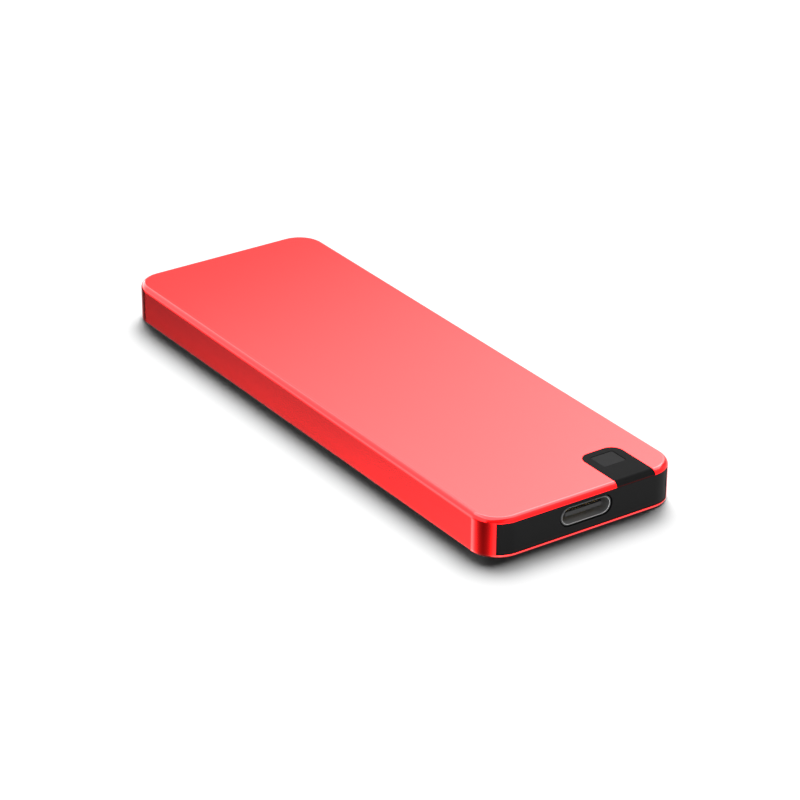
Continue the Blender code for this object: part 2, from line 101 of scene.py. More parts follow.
def roundEdge(width, height, steps=4):
    # insets and heights of a quarter round that starts at the wall and ends on the flat
    turn = np.linspace(0, math.pi / 2, steps + 1)
    return width * (1 - np.cos(turn)), height * np.sin(turn)


def slab(low, high, corner, edge, perCorner=6, steps=3):
    # a plate with rounded corners in plan and rounded rims above and below; corner and edge are in mm
    corner, edge = corner * mm, edge * mm
    low, high = np.array(low, float), np.array(high, float)
    half, middle = (high - low) / 2, (high + low) / 2
    points, normal = outline(half[0], half[1], max(corner, edge * 1.05), perCorner, middle[:2])
    inset, rise = roundEdge(edge, edge, steps)
    insets = np.concatenate([inset[::-1], inset])
    heights = np.concatenate([low[2] + edge - rise[::-1], high[2] - edge + rise])
    return ringSolid(carry(points, normal, insets, heights))


def turned(profile, centre, steps=32):
    # a turned solid: each point of the profile is a radius and a height, spun round the upright axis
    profile = np.asarray(profile, float)
    turn = np.arange(steps) * 2 * math.pi / steps
    rings = np.stack([profile[:, :1] * np.cos(turn), profile[:, :1] * np.sin(turn),
                      np.repeat(profile[:, 1:2], steps, 1)], 2)
    points, faces = ringSolid(rings)
    return points + np.array(centre), faces


def boxShape(low, high):
    xs, ys = [low[0], high[0], high[0], low[0]], [low[1], low[1], high[1], high[1]]
    return ringSolid([[[x, y, z] for x, y in zip(xs, ys)] for z in (low[2], high[2])])


def prism(halfX, halfY, radius, centre, lowZ, highZ, perCorner=10):
    points, normal = outline(halfX, halfY, radius, perCorner, centre)
    return ringSolid(carry(points, normal, [0, 0], [lowZ, highZ]))


def joined(shapes):
    # several solids in one mesh: each solid's faces count on from the points before it
    points, faces, count = [], [], 0
    for shapePoints, shapeFaces in shapes:
        points.append(np.asarray(shapePoints).reshape(-1, 3))
        faces += [[int(v) + count for v in face] for face in shapeFaces]
        count += len(points[-1])
    return np.concatenate(points), faces


def stamp(template, places):
    # one small solid repeated at many places, as one mesh
    points, faces = template
    return joined([(np.asarray(points) + np.array(place, float), faces) for place in places])


def link(name, data):
    obj = bpy.data.objects.new(name, data)
    scene.collection.objects.link(obj)
    return obj


def addObject(name, shape):
    points, faces = shape
    mesh = bpy.data.meshes.new(name)
    mesh.from_pydata(np.asarray(points).reshape(-1, 3).tolist(), [], [list(map(int, f)) for f in faces])
    outward = bmesh.new()
    outward.from_mesh(mesh)
    bmesh.ops.recalc_face_normals(outward, faces=outward.faces)
    outward.to_mesh(mesh)
    outward.free()
    return link(name, mesh)


def modify(obj, kind, **settings):
    modifier = obj.modifiers.new(kind, kind)
    for name, value in settings.items():
        setattr(modifier, name, value)


def applyAll(obj):
    bpy.context.view_layer.update()
    finished = bpy.data.meshes.new_from_object(obj.evaluated_get(bpy.context.evaluated_depsgraph_get()))
    obj.modifiers.clear()
    obj.data = finished


def dress(obj, body, look, nodes=(), angle=32):
    # material, smooth shading between sharp edges, body, and the CAD nodes it stands for
    obj.data.materials.clear()
    obj.data.materials.append(looks[look])
    obj.data.shade_smooth()
    obj.data.set_sharp_from_angle(angle=math.radians(angle))
    modify(obj, 'WEIGHTED_NORMAL', keep_sharp=True)    # large faces decide how their edges are shaded
    applyAll(obj)
    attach(obj, body)
    if nodes:
        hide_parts(*nodes)
    return obj


def casePiece(name, shape, look, slot, *nodes):
    return dress(addObject(name, shape), caseBody, look, nodes)


def corePiece(name, shape, look, slot, *nodes, steps=(), bevel=0.0, angle=32):
    obj = carve(name, shape, steps, bevel) if steps else addObject(name, shape)
    return dress(obj, coreBody, look, nodes, angle)


def soldered(name, shape):
    return corePiece(name, shape, "solderTin", "port_metal")


def cuts(*shapes):
    return [('DIFFERENCE', shape) for shape in shapes]


def middle(low, high):
    return (low.x + high.x) / 2, (low.y + high.y) / 2


def about(x, y, halfX, halfY, lowZ, highZ):
    # the low and high corners of a box with its middle at x, y
    return (x - halfX, y - halfY, lowZ), (x + halfX, y + halfY, highZ)


def carve(name, shape, steps, bevel=0.0):
    # a solid changed by a list of (operation, shape) steps, then given a fine round on its sharp edges
    obj = addObject(name, shape)
    tools = []
    for operation, other in steps:
        tool = other if isinstance(other, bpy.types.Object) else addObject(name + "Tool", other)
        tools.append(tool)
        modify(obj, 'BOOLEAN', operation=operation, solver='EXACT', object=tool)
    if bevel > 0:
        modify(obj, 'WELD', merge_threshold=0.002 * mm)
        modify(obj, 'BEVEL', width=bevel, segments=2, limit_method='ANGLE', angle_limit=math.radians(40),
               use_clamp_overlap=True, miter_outer='MITER_ARC')
    applyAll(obj)
    for tool in tools:
        bpy.data.objects.remove(tool)
    return obj


def keep(node, look):
    # a CAD node keeps its shape and gets its material
    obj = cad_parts[node]
    obj.data.materials.clear()
    obj.data.materials.append(looks[look])


def addNode(tree, kind, inputs=None, **settings):
    # a shader node; each input is either a value to hold or another node's output to link
    node = tree.nodes.new('ShaderNode' + kind)
    for name, value in settings.items():
        setattr(node, name, value)
    for label, value in (inputs or {}).items():
        if isinstance(value, bpy.types.NodeSocket):
            tree.links.new(value, node.inputs[label])
        else:
            node.inputs[label].default_value = value
    return node


def mathNode(tree, operation, *values):
    return addNode(tree, 'Math', dict(enumerate(values)), operation=operation).outputs[0]


def times(tree, first, second):
    return mathNode(tree, 'MULTIPLY', first, second)


def plus(tree, first, second):
    return mathNode(tree, 'ADD', first, second)


def objectPlace(tree):
    return addNode(tree, 'TexCoord').outputs['Object']


def split(tree, vector):
    return addNode(tree, 'SeparateXYZ', {0: vector}).outputs


def stretched(tree, *factors):
    # the object's own coordinates, each scaled by its own factor
    parts = split(tree, objectPlace(tree))
    scaled = [times(tree, part, factor) for part, factor in zip(parts, factors)]
    return addNode(tree, 'CombineXYZ', dict(enumerate(scaled))).outputs[0]


def noise(tree, vector, scale, detail=2.0, roughness=0.5):
    inputs = dict(Vector=vector, Scale=scale, Detail=detail, Roughness=roughness)
    return addNode(tree, 'TexNoise', inputs).outputs['Fac']


def ramp(tree, source, stops, interpolation='LINEAR'):
    # a curve through (position, value) stops, where a value is a grey level or a colour
    node = addNode(tree, 'ValToRGB', {'Fac': source})
    node.color_ramp.interpolation = interpolation
    elements = node.color_ramp.elements
    elements.remove(elements[-1])
    for number, (position, value) in enumerate(stops):
        element = elements.new(position) if number else elements[0]
        element.position = position
        element.color = (*value, 1.0) if isinstance(value, tuple) else (value, value, value, 1.0)
    return node.outputs['Color']


def newGroup(name, inputs, outputs):
    group = bpy.data.node_groups.new(name, 'ShaderNodeTree')
    for label, value in inputs.items():
        socket = group.interface.new_socket(label, in_out='INPUT', socket_type='NodeSocketFloat')
        socket.default_value = value
    for label in outputs:
        group.interface.new_socket(label, in_out='OUTPUT', socket_type='NodeSocketFloat')
    return group, group.nodes.new('NodeGroupInput').outputs, group.nodes.new('NodeGroupOutput').inputs


def buildGrainGroup():
    # blasted or moulded skin: fine grain for the bump, and slow patches for tone and gloss
    group, given, out = newGroup("surfaceGrain", dict(Grain=9000.0, Patch=60.0), ["Height", "Tone", "Gloss"])
    place = objectPlace(group)
    fine = noise(group, place, given['Grain'], 3.0, 0.6)
    coarse = noise(group, place, times(group, given['Grain'], 0.31), 1.0)
    patch = noise(group, place, given['Patch'])
    group.links.new(plus(group, times(group, fine, 0.65), times(group, coarse, 0.35)), out['Height'])
    group.links.new(patch, out['Tone'])
    group.links.new(plus(group, times(group, fine, 0.4), times(group, patch, 0.6)), out['Gloss'])
    return group


def buildScratchGroup():
    # hairlines: noise stretched along one axis, kept only where it peaks
    group, given, out = newGroup("hairlines", dict(Density=0.62, Run=40.0, Fine=2500.0), ["Mask"])
    lines = noise(group, stretched(group, given['Fine'], given['Run'], given['Fine']), 1.0, 1.0)
    scaled = times(group, mathNode(group, 'SUBTRACT', lines, given['Density']), 12.0)
    scaled.node.use_clamp = True
    group.links.new(scaled, out['Mask'])
    return group


def buildTraceGroup():
    # buried copper tracks: two sets of fine parallel bands, each shown only in some cells, plus round vias
    group, given, out = newGroup("copperTracks", dict(Pitch=0.45 * mm), ["Mask", "Via"])
    place = objectPlace(group)
    parts = split(group, place)
    bands = []
    for axis, cell in ((0, (180.0, 60.0)), (1, (70.0, 210.0))):
        wave = mathNode(group, 'FRACT', mathNode(group, 'DIVIDE', parts[axis], given['Pitch']))
        fromMiddle = mathNode(group, 'ABSOLUTE', mathNode(group, 'SUBTRACT', wave, 0.5))
        inputs = dict(Vector=stretched(group, *cell), Scale=1.0)
        cells = addNode(group, 'TexVoronoi', inputs, distance='CHEBYCHEV')
        shown = addNode(group, 'SeparateColor', {0: cells.outputs['Color']})
        bands.append(times(group, mathNode(group, 'LESS_THAN', fromMiddle, 0.2),
                           mathNode(group, 'GREATER_THAN', shown.outputs[axis], 0.55)))
    vias = addNode(group, 'TexVoronoi', dict(Vector=place, Scale=520.0))
    group.links.new(mathNode(group, 'MAXIMUM', *bands), out['Mask'])
    group.links.new(mathNode(group, 'LESS_THAN', vias.outputs['Distance'], 0.16), out['Via'])
    return group


grainGroup = buildGrainGroup()
scratchGroup = buildScratchGroup()
traceGroup = buildTraceGroup()


class Shader:
    # a material with its Principled shader and short ways to feed it

    def __init__(self, name, colour, roughness, metallic=0.0, **sockets):
        self.material = bpy.data.materials.new(name)
        self.material.use_nodes = True
        self.tree = self.material.node_tree
        self.main = self.tree.nodes["Principled BSDF"]
        self.main.inputs['Base Color'].default_value = (*colour, 1.0)
        self.main.inputs['Roughness'].default_value = roughness
        self.main.inputs['Metallic'].default_value = metallic
        for label, value in sockets.items():
            self.main.inputs[label.replace("_", " ")].default_value = value

    def group(self, group, **values):
        return addNode(self.tree, 'Group', values, node_tree=group).outputs

    def feed(self, label, source):
        self.tree.links.new(source, self.main.inputs[label])

    def base(self, colour):
        self.feed('Base Color', colour)

    def roughness(self, source, low, high):
        # maps a 0 to 1 value onto a range of roughness
        node = addNode(self.tree, 'MapRange', {'Value': source, 'To Min': low, 'To Max': high})
        self.feed('Roughness', node.outputs['Result'])

    def mixIn(self, under, over, mask):
        inputs = dict(A=under, B=(*over, 1.0), Factor=mask)
        return addNode(self.tree, 'Mix', inputs, data_type='RGBA').outputs['Result']

    def bump(self, height, strength, distance):
        node = addNode(self.tree, 'Bump', dict(Strength=strength, Distance=distance, Height=height))
        self.feed('Normal', node.outputs['Normal'])


def grained(name, colour, roughness, metallic=0.0, grain=9000.0, patch=60.0, tone=0.12, gloss=0.08,
            bump=(0.25, 0.01), **sockets):
    # a plain finish with grain: tone and gloss vary slowly, the bump (strength, height in mm) is fine
    made = Shader(name, colour, roughness, metallic, **sockets)
    skin = made.group(grainGroup, Grain=grain, Patch=patch)
    if tone > 0:
        dark = tuple(c * (1 - tone) for c in colour)
        light = tuple(min(1.0, c * (1 + tone)) for c in colour)
        made.base(ramp(made.tree, skin['Tone'], [(0.25, dark), (0.75, light)]))
    made.roughness(skin['Gloss'], roughness - gloss, roughness + gloss)
    made.bump(skin['Height'], bump[0], bump[1] * mm)
    return made


plainFinishes = dict(
    seamRed=dict(colour=(0.040, 0.0015, 0.0015), roughness=0.5, metallic=1.0),
    capBlack=dict(colour=(0.0078, 0.0078, 0.008), roughness=0.42, grain=7000.0, patch=80.0, tone=0.10,
                  gloss=0.05, bump=(0.22, 0.01), Specular_IOR_Level=0.045),
    windowSmoke=dict(colour=(0.017, 0.017, 0.0174), roughness=0.34, grain=3000.0, tone=0.05, gloss=0.03,
                     bump=(0.04, 0.004), Specular_IOR_Level=0.07),
    clearPlastic=dict(colour=(0.86, 0.89, 0.90), roughness=0.12, tone=0.02, gloss=0.03, bump=(0.03, 0.004),
                      Transmission_Weight=0.85, IOR=1.49),
    portInside=dict(colour=(0.30, 0.30, 0.30), roughness=0.62, metallic=0.85, grain=4000.0, gloss=0.06),
    tongueGrey=dict(colour=(0.05, 0.05, 0.05), roughness=0.5, grain=6000.0, Specular_IOR_Level=0.16),
    goldContact=dict(colour=(0.90, 0.62, 0.22), roughness=0.22, metallic=1.0, tone=0.05, gloss=0.05),
    solderTin=dict(colour=(0.66, 0.67, 0.68), roughness=0.30, metallic=1.0, grain=5000.0),
    connectorBlack=dict(colour=(0.016, 0.016, 0.017), roughness=0.48, grain=6000.0),
    trayPlastic=dict(colour=(0.032, 0.033, 0.036), roughness=0.52, grain=4500.0, tone=0.14,
                     bump=(0.3, 0.012)),
    chipResin=dict(colour=(0.022, 0.022, 0.024), roughness=0.46, grain=8000.0, tone=0.18, bump=(0.35, 0.01)),
    ferriteBlock=dict(colour=(0.11, 0.105, 0.10), roughness=0.62, grain=6000.0, tone=0.3, bump=(0.5, 0.02)),
    ceramicTan=dict(colour=(0.36, 0.24, 0.13), roughness=0.42, grain=5000.0),
    resistorBlack=dict(colour=(0.02, 0.02, 0.021), roughness=0.35),
    ledBody=dict(colour=(0.86, 0.85, 0.80), roughness=0.35, tone=0.03),
    phosphorDome=dict(colour=(0.85, 0.70, 0.18), roughness=0.28, tone=0.06),
    turnedBrass=dict(colour=(0.76, 0.56, 0.25), roughness=0.28, metallic=1.0, tone=0.08),
    thermalPad=dict(colour=(0.30, 0.39, 0.50), roughness=0.72, grain=2600.0, bump=(0.6, 0.03)),
    foamBlack=dict(colour=(0.025, 0.025, 0.027), roughness=0.92, grain=2400.0, tone=0.4, gloss=0.05,
                   bump=(1.0, 0.12)),
    labelInk=dict(colour=(0.52, 0.52, 0.53), roughness=0.4, metallic=0.6),
    paperLabel=dict(colour=(0.80, 0.80, 0.79), roughness=0.6, grain=3000.0, tone=0.03),
)
# painted light in the base colour, up the sleeve's height: a pale painted highlight along the bottom edge,
# then painted shade that leaves the walls lighter low down and darker towards the top
anodisedRed = dict(colour=(0.93, 0.006, 0.007), roughness=0.17, coat=0.12, coatRoughness=0.12,
                   paintedLightTones=[(0.0, (0.93, 0.006, 0.007)), (0.024, (0.90, 0.05, 0.05)),
                          (0.056, (0.88, 0.045, 0.045)), (0.085, (0.98, 0.010, 0.010)),
                          (0.30, (0.98, 0.008, 0.009)), (0.76, (0.80, 0.006, 0.007)),
                          (0.86, (0.80, 0.006, 0.007)), (0.92, (0.93, 0.006, 0.007))])
# metals: lines are hairlines (density, run, fineness), grain is (fine, patch), and bump is (strength, mm)
plating = dict(roughness=(0.30, 0.42), lines=(0.5, 300.0, 9000.0), bump=(0.10, 0.004))
metalFinishes = dict(
    portNickel=dict(plating, dark=(0.025, 0.025, 0.026)),
    nickelPlate=dict(plating, dark=(0.60, 0.61, 0.60), roughness=(0.24, 0.38)),
    screwSteel=dict(dark=(0.36, 0.36, 0.37), light=(0.52, 0.52, 0.52), roughness=(0.24, 0.42),
                    grain=(3500.0, 900.0), bump=(0.15, 0.008)),
    copperFoil=dict(dark=(0.66, 0.30, 0.175), light=(0.74, 0.36, 0.215), stops=(0.3, 0.7),
                    roughness=(0.27, 0.34), lines=(0.5, 60.0, 9000.0), grain=(2600.0, 110.0),
                    bump=(0.15, 0.01)),
    labelFilm=dict(dark=(0.090, 0.090, 0.094), light=(0.125, 0.125, 0.13), metallic=0.4,
                   roughness=(0.34, 0.44), lines=(0.45, 60.0, 3000.0)),
)
solderMask = dict(under=(0.006, 0.055, 0.034), track=(0.016, 0.12, 0.07), via=(0.30, 0.27, 0.14),
                  pitch=0.46 * mm, roughness=(0.22, 0.36))


def metal(name, dark, roughness, light=None, stops=(0.0, 1.0), metallic=1.0, lines=None, grain=None,
          bump=None):
    # grain gives tone and bump where there is any; hairlines give the roughness, and the rest without grain
    made = Shader(name, dark, roughness[0], metallic)
    if lines:
        hair = made.group(scratchGroup, Density=lines[0], Run=lines[1], Fine=lines[2])['Mask']
        toneFrom = glossFrom = bumpFrom = hair
    if grain:
        skin = made.group(grainGroup, Grain=grain[0], Patch=grain[1])
        toneFrom, bumpFrom = skin['Tone'], skin['Height']
        glossFrom = glossFrom if lines else skin['Gloss']
    if light:
        made.base(ramp(made.tree, toneFrom, [(stops[0], dark), (stops[1], light)]))
    made.roughness(glossFrom, *roughness)
    if bump:
        made.bump(bumpFrom, bump[0], bump[1] * mm)
    return made


def boardMask():
    # dark green over lighter buried tracks, with plated vias
    mask = solderMask
    made = Shader("solderMask", mask["under"], mask["roughness"][0])
    tracks = made.group(traceGroup, Pitch=mask["pitch"])
    skin = made.group(grainGroup, Grain=5000.0, Patch=90.0)
    dark = tuple(c * 0.85 for c in mask["under"])
    tone = ramp(made.tree, skin['Tone'], [(0.0, dark), (1.0, mask["under"])])
    made.base(made.mixIn(made.mixIn(tone, mask["track"], tracks['Mask']), mask["via"], tracks['Via']))
    made.roughness(skin['Gloss'], *mask["roughness"])
    made.bump(tracks['Mask'], 0.5, 0.02 * mm)
    return made


def sleeveRed():
    red = anodisedRed
    made = grained("anodisedRed", red["colour"], red["roughness"], 1.0, grain=14000.0, patch=45.0, tone=0.0,
                   gloss=0.015, bump=(0.10, 0.006), Coat_Weight=red["coat"],
                   Coat_Roughness=red["coatRoughness"], Coat_IOR=1.5)
    # base colour set by height: a painted highlight along the bottom edge and painted shade on the upper
    # walls
    height = split(made.tree, objectPlace(made.tree))[2]
    made.base(ramp(made.tree, mathNode(made.tree, 'DIVIDE', height, caseHeight), red["paintedLightTones"]))
    return made


def buildMaterials():
    made = {name: grained(name, **values).material for name, values in plainFinishes.items()}
    made.update({name: metal(name, **values).material for name, values in metalFinishes.items()})
    made["anodisedRed"] = sleeveRed().material
    made["solderMask"] = boardMask().material
    print("materials:", len(made))
    return made


looks = buildMaterials()


sleeveSizes = inMm(corner=4.6, topRound=0.9, bottomRound=0.32, roof=0.75, floor=0.49, side=1.8, rearWall=1.0,
                   cavityCorner=3.0, edge=0.05)
tabSizes = inMm(centre=8.8, width=6.8, length=9.5, corner=1.9, gap=0.08)
labelSizes = inMm(gap=0.1, corner=1.5, recess=0.14, ink=0.012, frameLine=0.25, rule=0.2, margin=1.2,
                  ruleMargin=1.4)


def caseForm(setback=0.0):
    # the outer form: a small round at the bottom, an upright wall, and a larger round up to the flat top
    s = sleeveSizes
    points, normal = outline(halfWidth, (rear - front) / 2 - setback, s["corner"], 24)
    lowInset, lowRise = roundEdge(s["bottomRound"], s["bottomRound"], 4)
    highInset, highRise = roundEdge(s["topRound"], s["topRound"], 10)
    insets = np.concatenate([lowInset[::-1], highInset])
    heights = np.concatenate([s["bottomRound"] - lowRise[::-1], caseHeight - s["topRound"] + highRise])
    return ringSolid(carry(points, normal, insets, heights))


def tabOutline(grow, lowZ):
    # the tab's plan, longer than the case at the front, upright from a height to above the top
    s = tabSizes
    back = front + s["length"] + grow
    start = front - 6 * mm
    return prism(s["width"] / 2 + grow, (back - start) / 2, s["corner"] + grow,
                 (s["centre"], (back + start) / 2), lowZ, caseHeight + beyond)


def buildSleeve():
    s = sleeveSizes
    start = front - 10 * mm
    back = rear - s["rearWall"]
    roof = caseHeight - s["roof"]
    cavity = prism(halfWidth - s["side"], (back - start) / 2, s["cavityCorner"], (0, (back + start) / 2),
                   s["floor"], roof)
    low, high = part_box("rating_label")
    half = (high - low) / 2
    gap = labelSizes["gap"]
    recess = prism(half.x + gap, half.y + gap, labelSizes["corner"], (0, 0), -beyond, labelSizes["recess"])
    notch = tabOutline(tabSizes["gap"], roof - beyond)
    obj = carve("sleeveShell", caseForm(), cuts(cavity, notch, recess), s["edge"])
    dress(obj, caseBody, "anodisedRed", ["sleeve"], 24)
    obj.visible_diffuse = False
    print("sleeve faces:", len(obj.data.polygons))


def buildCaseTrim():
    s = labelSizes
    low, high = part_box("rating_label")
    casePiece("ratingLabel", slab(low, high, 1.4, 0.02, 8), "labelFilm", "label_film", "rating_label")
    # a thin printed frame and ruled lines on the label's underside, with no lettering
    x, y = (high.x - low.x) / 2 - s["margin"], (high.y - low.y) / 2 - s["margin"]

    def bar(halfX, halfY, atX, atY):
        return boxShape(*about(atX, atY, halfX, halfY, low.z - s["ink"], low.z + s["ink"]))

    line = s["frameLine"] / 2
    bars = [bar(x, line, 0, side * y) for side in sides]
    bars += [bar(line, y, side * x, 0) for side in sides]
    bars += [bar(x - s["ruleMargin"], s["rule"] / 2, 0, share * 1.2 * y + s["rule"] / 2)
             for share in np.linspace(-0.45, 0.55, 5)]
    casePiece("labelPrint", joined(bars), "labelInk", "label_film")
    casePiece("rearFoamPad", slab(*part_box("rear_foam_pad"), 0.2, 0.1), "foamBlack", "foam",
              "rear_foam_pad")


capSizes = inMm(setback=0.1, depth=3.4, half=15.15, low=0.53, high=5.45, tabUnder=5.0, lugInner=10.6,
                lugOuter=13.9, lugRear=8.0, lugLow=2.13, lugHigh=3.3, screwHole=0.82, screwDepth=4.4,
                pipeHole=0.8, pipeFrom=4.0, windowGap=0.05, windowCorner=0.35, edge=0.07, seam=0.07,
                seamDepth=0.12)
portSizes = inMm(z=3.35, lead=0.05, hole=0.15, wall=0.2, sideWall=0.33, lip=0.05)


def portRing(halfX, halfZ, y):
    # the port's outline: two half rounds joined by flats, standing upright at one depth
    turn = np.linspace(-math.pi / 2, math.pi / 2, 15)
    right = np.stack([halfX - halfZ + halfZ * np.cos(turn), halfZ * np.sin(turn)], 1)
    loop = np.concatenate([right, -right])
    return np.stack([loop[:, 0], np.full(len(loop), y), portSizes["z"] + loop[:, 1]], 1)


def portHole(face, back):
    # an opening with a fine lead-in at the face, running back through the cap
    low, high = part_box("usb_c_rear_shield")
    halfX, halfZ = [size / 2 + portSizes["hole"] for size in (high.x - low.x, high.z - low.z)]
    lead, wide = portSizes["lead"], 3 * mm
    return ringSolid([portRing(halfX + lead + wide, halfZ + lead + wide, face - wide),
                      portRing(halfX + lead, halfZ + lead, face),
                      portRing(halfX, halfZ, face + lead),
                      portRing(halfX, halfZ, back + 2 * mm)])


def buildEndCap():
    s = capSizes
    face = front + s["setback"]
    back = face + s["depth"]
    tab = carve("tabForm", caseForm(s["setback"]), [('INTERSECT', tabOutline(0.0, s["tabUnder"]))])
    panel = boxShape((-s["half"], front - 5 * mm, s["low"]), (s["half"], back, s["high"]))
    steps = [('INTERSECT', panel), ('UNION', tab)]
    lugX, lugHalf = (s["lugInner"] + s["lugOuter"]) / 2, (s["lugOuter"] - s["lugInner"]) / 2
    lugStart, lugEnd = back - 0.5 * mm, front + s["lugRear"]
    for side in sides:
        steps.append(('UNION', boxShape(*about(side * lugX, (lugStart + lugEnd) / 2, lugHalf,
                                               (lugEnd - lugStart) / 2, s["lugLow"], s["lugHigh"]))))
    for name in ("cap_screw_left", "cap_screw_right"):
        hole = [(s["screwHole"], beyond), (s["screwHole"], s["screwDepth"])]
        steps += cuts(turned(hole, (*middle(*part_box(name)), 0.0), 20))
    steps += cuts(portHole(face, back))
    low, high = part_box("indicator_lens")
    gap = s["windowGap"]
    steps += cuts(prism((high.x - low.x) / 2 + gap, (high.y - low.y) / 2 + gap, s["windowCorner"],
                        middle(low, high), low.z - gap, caseHeight + beyond, 5))
    well = [(s["pipeHole"], s["pipeFrom"]), (s["pipeHole"], caseHeight)]
    steps += cuts(turned(well, (*middle(*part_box("light_pipe")), 0), 20))
    # the seam under the tab: a fine groove across the front face, at the height of the sleeve's roof
    seamZ = caseHeight - sleeveSizes["roof"] - 0.03 * mm
    left, right = [tabSizes["centre"] + side * tabSizes["width"] / 2 for side in sides]
    steps += cuts(boxShape((left - beyond, front - beyond, seamZ - s["seam"]),
                           (right + beyond, face + s["seamDepth"], seamZ + s["seam"])))
    obj = corePiece("endCap", caseForm(s["setback"]), "capBlack", "end_cap", "end_cap", steps=steps,
                    bevel=s["edge"], angle=30)
    inset, gap = 0.05 * mm, 0.02 * mm
    seam = boxShape((left + inset, face + 0.03 * mm, seamZ - s["seam"] + gap),
                    (right - inset, face + s["seamDepth"] - gap, seamZ + s["seam"] - gap))
    corePiece("tabSeam", seam, "seamRed", "case")
    print("end cap faces:", len(obj.data.polygons))


def buildWindow():
    low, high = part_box("indicator_lens")
    corePiece("indicatorWindow", slab(low, high, 0.32, 0.07), "windowSmoke", "lens", "indicator_lens")
    low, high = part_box("light_pipe")
    radius = (high.x - low.x) / 2
    flare = 0.12 * mm
    profile = [(radius * 0.72, low.z), (radius * 0.8, low.z + flare), (radius * 0.8, low.z + 0.8 * mm),
               (radius, low.z + 1.2 * mm), (radius, high.z - flare), (radius - flare, high.z)]
    corePiece("lightPipe", turned(profile, (*middle(low, high), 0), 28), "clearPlastic", "light_pipe",
              "light_pipe")
    low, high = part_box("status_led")
    corePiece("statusLight", slab(low, high, 0.05, 0.03), "ledBody", "led", "status_led")
    dome = slab(*about(*middle(low, high), 0.28 * mm, 0.45 * mm, high.z - 0.05 * mm, high.z + 0.012 * mm),
                0.2, 0.02)
    corePiece("statusLightDome", dome, "phosphorDome", "led")
    wide, deep = 0.02 * mm, 0.14 * mm
    ends = [slab((low.x - wide, y - deep, low.z), (high.x + wide, y + deep, low.z + 0.22 * mm), 0.04,
                 0.02, 2, 1) for y in (low.y + 0.1 * mm, high.y - 0.1 * mm)]
    soldered("statusLightPads", joined(ends))


def buildReceptacle():
    low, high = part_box("usb_c_shell")
    plateLow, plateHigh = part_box("usb_c_rear_shield")
    halfX, halfZ = (plateHigh.x - plateLow.x) / 2, (plateHigh.z - plateLow.z) / 2
    wall, lip = portSizes["wall"], portSizes["lip"]
    # the shell's wall as a closed loop of rings: out along the outside, over the flat lip, back inside
    turn = np.linspace(0, math.pi / 2, 4)
    rounding = lip * (1 - np.cos(turn))
    lipY = low.y + lip * (1 - np.sin(turn))
    insets = np.concatenate([[0], rounding, wall - rounding[::-1], [wall]])
    depths = np.concatenate([[high.y], lipY, lipY[::-1], [high.y]])
    aside = portSizes["sideWall"] / wall
    rings = np.stack([portRing(halfX - i * aside, halfZ - i, y) for i, y in zip(insets, depths)])
    shell = (rings.reshape(-1, 3), gridFaces(*rings.shape[:2], closeRows=True))
    obj = corePiece("portShell", shell, "portNickel", "port_metal", "usb_c_shell", angle=40)
    # faces that look towards the port's middle line are the inside, which is duller
    obj.data.materials.append(looks["portInside"])
    inside = [face.normal.dot(Vector((face.center.x * 0.3, 0, face.center.z - portSizes["z"]))) < 0
              for face in obj.data.polygons]
    obj.data.polygons.foreach_set("material_index", np.array(inside, np.int32))
    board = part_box("bridge_board")[1].z
    ear = slab(*about(0, 0, 0.56 * mm, 0.4 * mm, board + 0.03 * mm, board + 0.28 * mm), 0.1, 0.05, 3, 2)
    soldered("portEars", stamp(ear, [(side * (halfX + 0.44 * mm), high.y - back * mm, 0)
                                     for side in sides for back in (2.6, 0.6)]))
    latchZ = portSizes["z"] + halfZ - 0.10 * mm
    latch = slab(*about(0, 0, 0.7 * mm, 0.9 * mm, 0, 0.14 * mm), 0.3, 0.04, 5, 2)
    latches = stamp(latch, [(side * 2.4 * mm, low.y + 3.6 * mm, latchZ) for side in sides])
    corePiece("portLatchPlates", latches, "nickelPlate", "port_metal")
    edge = 0.04 * mm
    profile = ((edge, plateLow.y), (0, plateLow.y + edge), (0, plateHigh.y - edge), (edge, plateHigh.y))
    shield = [portRing(halfX - inset, halfZ - inset, y) for inset, y in profile]
    corePiece("portRearShield", ringSolid(shield), "nickelPlate", "port_metal", "usb_c_rear_shield", angle=50)


tongueSizes = inMm(half=3.345, thick=0.35, step=0.3, stepLength=1.2, insulator=1.5, blockHalf=4.14,
                   blockThick=1.25, back=0.5, pinPitch=0.5, pinWidth=0.25, pinSetback=0.35, pinLength=3.1)
pinsAcross = 12


def buildTongue():
    s = tongueSizes
    low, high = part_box("usb_c_tongue")
    z = portSizes["z"]
    half, thick, back = s["half"], s["thick"], high.y - s["back"]
    wide, tall = half + s["step"], thick + s["step"]
    blade = slab((-half, low.y, z - thick), (half, back, z + thick), 0.25, 0.07, 5, 2)
    step = slab((-wide, high.y - s["insulator"] - s["stepLength"], z - tall), (wide, back, z + tall),
                0.1, 0.05, 3, 2)
    ends = (high.y - s["insulator"], high.y)
    block = ringSolid([portRing(s["blockHalf"], s["blockThick"], y) for y in ends])
    corePiece("portTongue", blade, "tongueGrey", "port_insulator", "usb_c_tongue",
              steps=[('UNION', step), ('UNION', block)], angle=35)
    # contact strips on both faces of the tongue, and the steel edge of its mid plate
    across = (np.arange(pinsAcross) - (pinsAcross - 1) / 2) * s["pinPitch"]
    start = low.y + s["pinSetback"]
    strip = slab((-s["pinWidth"] / 2, start, -0.02 * mm),
                 (s["pinWidth"] / 2, start + s["pinLength"], 0.02 * mm), 0.06, 0.015, 2, 1)
    places = [(x, 0, z + side * thick) for side in sides for x in across]
    corePiece("portContacts", stamp(strip, places), "goldContact", "port_metal")
    edge = slab(*about(0, low.y + 1.75 * mm, 0.06 * mm, 1.45 * mm, -0.1 * mm, 0.1 * mm), 0.03, 0.02, 2, 1)
    edges = stamp(edge, [(side * half, 0, z) for side in sides])
    corePiece("portMidPlate", edges, "nickelPlate", "port_metal")


